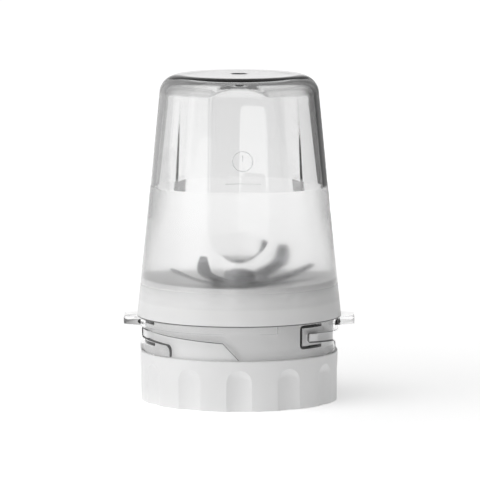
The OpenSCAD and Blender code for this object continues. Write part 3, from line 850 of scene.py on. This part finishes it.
def holder(material, shade, deck):
    materials = [material, shade, deck]
    ob = add_object("blade_holder_shell", lathe(holder_profile()), materials)
    for face in ob.data.polygons:
        place = face.center / MM
        # Deck faces take a lighter white than the rest of the holder: painted light, lifting the deck above
        # the plastic's own colour
        if place.to_2d().length < 39.5 and place.z > 53.55:
            face.material_index = 2
        # The neck's inner wall takes a near-black: painted shade for the dark inside of the neck
        if place.to_2d().length < NECK_IN + 0.1 and 25 < place.z < 40.4:
            face.material_index = 1
    # The slits' cut faces take the same near-black painted shade
    arms = joined([turned(slit_arm(z), a) for z in (28.4, 38.2) for a in GROOVES])
    carve(ob, painted(arms, 1), "DIFFERENCE", materials)
    backs = joined([turned(slit_back(), a) for a in GROOVES])
    carve(ob, painted(backs, 1), "DIFFERENCE", materials)
    extras = joined([turned(lug(), a) for a in GROOVES] + [boss(a) for a in GROOVES])
    extras.from_mesh(ob.data)
    extras.to_mesh(ob.data)
    extras.free()
    smooth(ob, 35)
    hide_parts("blade_holder")
    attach(ob, "base")


# ---------------------------------------------------------------- blades

SHEET = 1.2


def blade(name, node, stations, direction, low_z, material):
    """A stamped and bent sheet, ground thin along each wing's leading edge.

    stations run from the hub to the tip: distance, height, leading width, trailing width and skew
    of the row."""
    across = [-1, -0.96, -0.85, -0.6, -0.3, 0, 0.3, 0.6, 0.9, 1]

    def row(d, h, lead, trail, skew, sign):
        points = []
        for u in across:
            x = -u * lead if u < 0 else -u * trail
            ground = max(0.0, (-u - 0.6) / 0.4)
            top = SHEET * (1 - 0.85 * ground)
            points.append((sign * -x, sign * -(d + skew * x), h, top))
        return points

    rows = []
    fine = refined(stations)
    for d, h, lead, trail, skew in reversed(fine[1:]):
        rows.append([(x, y, z, t) for x, y, z, t in reversed(row(d, h, lead, trail, skew, -1))])
    for station in fine:
        rows.append(row(*station, 1))
    bm = bmesh.new()
    low = [[bm.verts.new((x * MM, y * MM, (low_z + z) * MM)) for x, y, z, t in r] for r in rows]
    high = [[bm.verts.new((x * MM, y * MM, (low_z + z + t) * MM)) for x, y, z, t in r] for r in rows]
    n, m = len(rows), len(across)
    for i in range(n - 1):
        for j in range(m - 1):
            bm.faces.new([low[i][j], low[i][j + 1], low[i + 1][j + 1], low[i + 1][j]])
            bm.faces.new([high[i][j], high[i + 1][j], high[i + 1][j + 1], high[i][j + 1]])
        for j in (0, m - 1):
            bm.faces.new([low[i][j], low[i + 1][j], high[i + 1][j], high[i][j]])
    for i in (0, n - 1):
        for j in range(m - 1):
            bm.faces.new([low[i][j], low[i][j + 1], high[i][j + 1], high[i][j]])
    ob = add_object(name, turned(bm, direction), [material], 28)
    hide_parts(node)
    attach(ob, "cutter")


def refined(stations, parts=5):
    """Stations on a smooth line through the given ones (Catmull-Rom)."""
    out = []
    for i in range(len(stations) - 1):
        p0, p1, p2 = stations[max(i - 1, 0)], stations[i], stations[i + 1]
        p3 = stations[min(i + 2, len(stations) - 1)]
        for k in range(parts):
            t = k / parts
            out.append(tuple(
                0.5 * (2 * b + (c - a) * t + (2 * a - 5 * b + 4 * c - d) * t * t
                       + (3 * b - a - 3 * c + d) * t ** 3)
                for a, b, c, d in zip(p0, p1, p2, p3)
            ))
    return out + [tuple(stations[-1])]


TIP_STATIONS = [
    (0, 0, 8, 8, 0), (8, 0.02, 7, 7, 0), (13, 0.9, 4.6, 4.2, 0), (21, 3.3, 3.7, 3.3, 0),
    (25.2, 5.2, 3.4, 3.0, 0.02), (27.2, 8.0, 3.2, 3.0, 0.05), (28.6, 11.0, 1.9, 2.9, 0.06),
    (29.2, 13.0, 0.8, 2.8, 0.06),
]
LOW_STATIONS = [
    (0, 0, 8.8, 8.8, 0), (9, 0.02, 7, 7, 0), (14, 0.5, 5.4, 5, 0), (20, 2.2, 4.2, 4, 0),
    (26, 5.0, 2.8, 3.2, 0.05),
    (29.4, 6.6, 1.2, 3.0, 0.1),
]


# ---------------------------------------------------------------- marks on the beaker


def groove_point(x, z, lift=0.0):
    y = soft_min(math.sqrt(cone(z) ** 2 - x * x), groove_depth(x, z), EDGE)
    return x, -(y + lift), z


def ribbon(points, width, lift):
    """A thin raised line that follows the front groove through (x, z) points."""
    bm = bmesh.new()
    rows = []
    for i, (x, z) in enumerate(points):
        ax, az = points[max(i - 1, 0)]
        bx, bz = points[min(i + 1, len(points) - 1)]
        length = math.hypot(bx - ax, bz - az) or 1.0
        nx, nz = -(bz - az) / length * width / 2, (bx - ax) / length * width / 2
        corners = [groove_point(x - nx, z - nz, -0.05), groove_point(x - nx, z - nz, lift),
                   groove_point(x + nx, z + nz, lift), groove_point(x + nx, z + nz, -0.05)]
        rows.append([bm.verts.new(Vector(p) * MM) for p in corners])
    for a, b in zip(rows, rows[1:]):
        for i in range(4):
            j = (i + 1) % 4
            bm.faces.new([a[i], a[j], b[j], b[i]])
    bm.faces.new(rows[0])
    bm.faces.new(list(reversed(rows[-1])))
    return bm


def marks(material):
    """A plain ring with a short hand, and a fill line below it, raised on the front groove."""
    x, z, r = 1.6, 115.5, 4.6
    turns = [math.radians(t) for t in spaced(0, 360, 9)]
    ring = [(x + r * math.cos(a), z + r * math.sin(a)) for a in turns]
    hand = [(x, z), (x, z + 2.9)]
    line = [(x, 105.2) for x in spaced(-6.5, 10.2, 1)]
    lines = joined([ribbon(ring, 0.35, 0.12), ribbon(hand, 0.35, 0.12), ribbon(line, 0.25, 0.12)])
    ob = add_object("fill_marks", lines, [material], 40)
    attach(ob, "beaker")


# ---------------------------------------------------------------- the whole

bpy.context.scene.view_settings.view_transform = "Standard"
camera()
floor()
studio()

WHITE = moulded("white_plastic", (0.77, 0.77, 0.77), (0.81, 0.81, 0.81))
GREY = moulded("grey_plastic", (0.42, 0.42, 0.43), (0.48, 0.48, 0.49))
BLACK = moulded("black_plastic", (0.012, 0.012, 0.013), (0.025, 0.025, 0.027), (0.45, 0.6))
RUBBER = moulded("black_rubber", (0.012, 0.012, 0.012), (0.02, 0.02, 0.02), (0.6, 0.75))
SILICONE = moulded("silicone", (0.74, 0.74, 0.73), (0.80, 0.80, 0.79), (0.4, 0.5))
STEEL = metal("stainless", (0.2, 0.2, 0.21), (0.32, 0.32, 0.33), (0.16, 0.3), 0)
PLATED = metal("plated_steel", (0.45, 0.46, 0.48), (0.58, 0.59, 0.61), (0.3, 0.42))
CAST = metal("cast_alloy", (0.42, 0.42, 0.43), (0.56, 0.56, 0.57), (0.4, 0.55))
BRONZE = metal("bronze", (0.36, 0.22, 0.10), (0.52, 0.34, 0.17), (0.35, 0.5))
MARK = moulded("fill_mark", (0.68, 0.68, 0.69), (0.74, 0.74, 0.75))

NODE_MATERIALS = {
    "bottom_cover": GREY, "bearing_housing": CAST, "housing_gasket": RUBBER, "upper_bush": BRONZE,
    "lower_bush": BRONZE, "shaft_seal": RUBBER, "seal_cap": STEEL, "cover_screws": PLATED,
    "housing_screws": PLATED, "drive_shaft": STEEL, "lower_thrust_washer": WHITE, "retaining_clip": PLATED,
    "drive_coupling": BLACK, "coupling_insert": BRONZE, "upper_thrust_washer": WHITE, "lock_washer": PLATED,
    "blade_nut": STEEL, "sealing_ring": SILICONE,
}
for name, material in NODE_MATERIALS.items():
    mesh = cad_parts[name].data
    mesh.materials.clear()
    mesh.materials.append(material)

beaker([
    # The upper clear wall is tinted 0.84, far greyer than the skirt's 0.98: painted shade that dims all
    # that shows through it
    clear_plastic("clear_plastic", 0.84),
    frosted_plastic("frosted_plastic", 0.19, 0.75, 0.14, (0.047, 0.057)),
    clear_plastic("clear_skirt", 0.98, 1.25, 0.01, 0.91),
    clear_plastic("tab_plastic", 0.98, 1.12, 0.01, 0.9),
    # Near-black painted shade for the slots' edges and the band under the flange, not a colour of the
    # plastic
    moulded("cut_edge_painted_shade", (0.10, 0.10, 0.10), (0.15, 0.15, 0.15)),
])
collar(WHITE)
holder(
    WHITE,
    # Near-black painted shade for the neck's inside and the slits' faces; the plastic there is the same
    # white
    moulded("holder_inside_painted_shade", (0.08, 0.08, 0.08), (0.12, 0.12, 0.12)),
    # A lighter copy of the white plastic: painted light on the deck
    moulded("deck_painted_light", (0.93, 0.93, 0.93), (0.96, 0.96, 0.96)),
)
blade("low_blade_shell", "low_blade", LOW_STATIONS, -72, 54.8, STEEL)
blade("tip_blade_shell", "tip_blade", TIP_STATIONS, -34, 56.0, STEEL)
marks(MARK)
